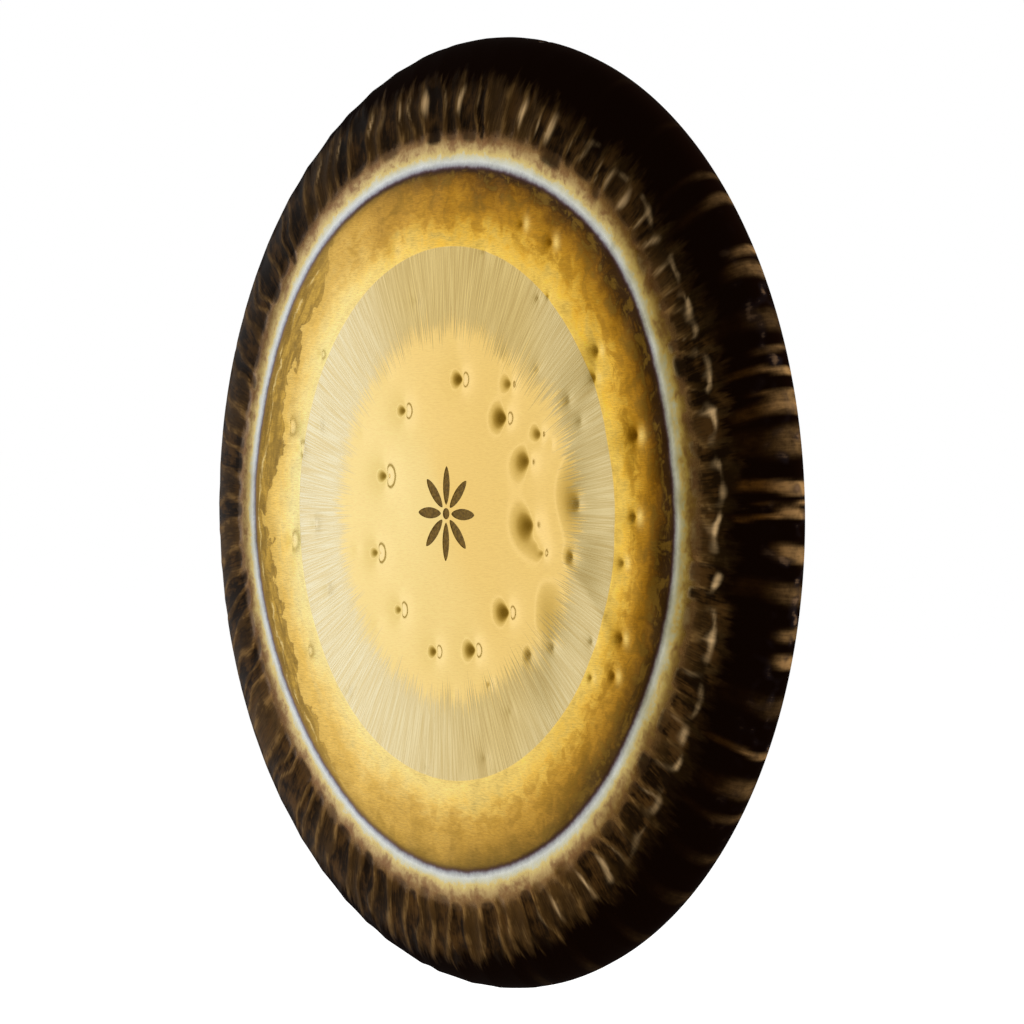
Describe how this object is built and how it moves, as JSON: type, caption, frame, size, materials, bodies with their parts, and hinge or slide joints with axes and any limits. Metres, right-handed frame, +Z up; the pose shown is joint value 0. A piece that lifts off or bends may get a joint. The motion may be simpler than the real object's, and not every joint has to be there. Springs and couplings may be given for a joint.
{
  "type": "gong",
  "caption": "Flat-faced hammered bronze gong with a turned-back rim, struck on its face and hung by a cord through the grommeted holes in its rim.",
  "frame": {"origin": "centre of the gong's bounding box, on the axis of its round face, half way between the crown of the face and the lip's edge", "axes": "+Z up as the gong hangs, the face looks along -Y, +Y out of the open back, +X to the right seen from the front"},
  "size_m": [0.7112, 0.045, 0.7112],
  "materials": {
    "hammered_bronze": "hammered, satin gold face with a heat-tinted ring and a dark oxide rim",
    "black_rubber": "matt moulded rubber"
  },
  "bodies": {
    "root": {"gong_plate": "hammered_bronze", "cord_grommet_left": "black_rubber", "cord_grommet_right": "black_rubber"}
  },
  "joints": []
}
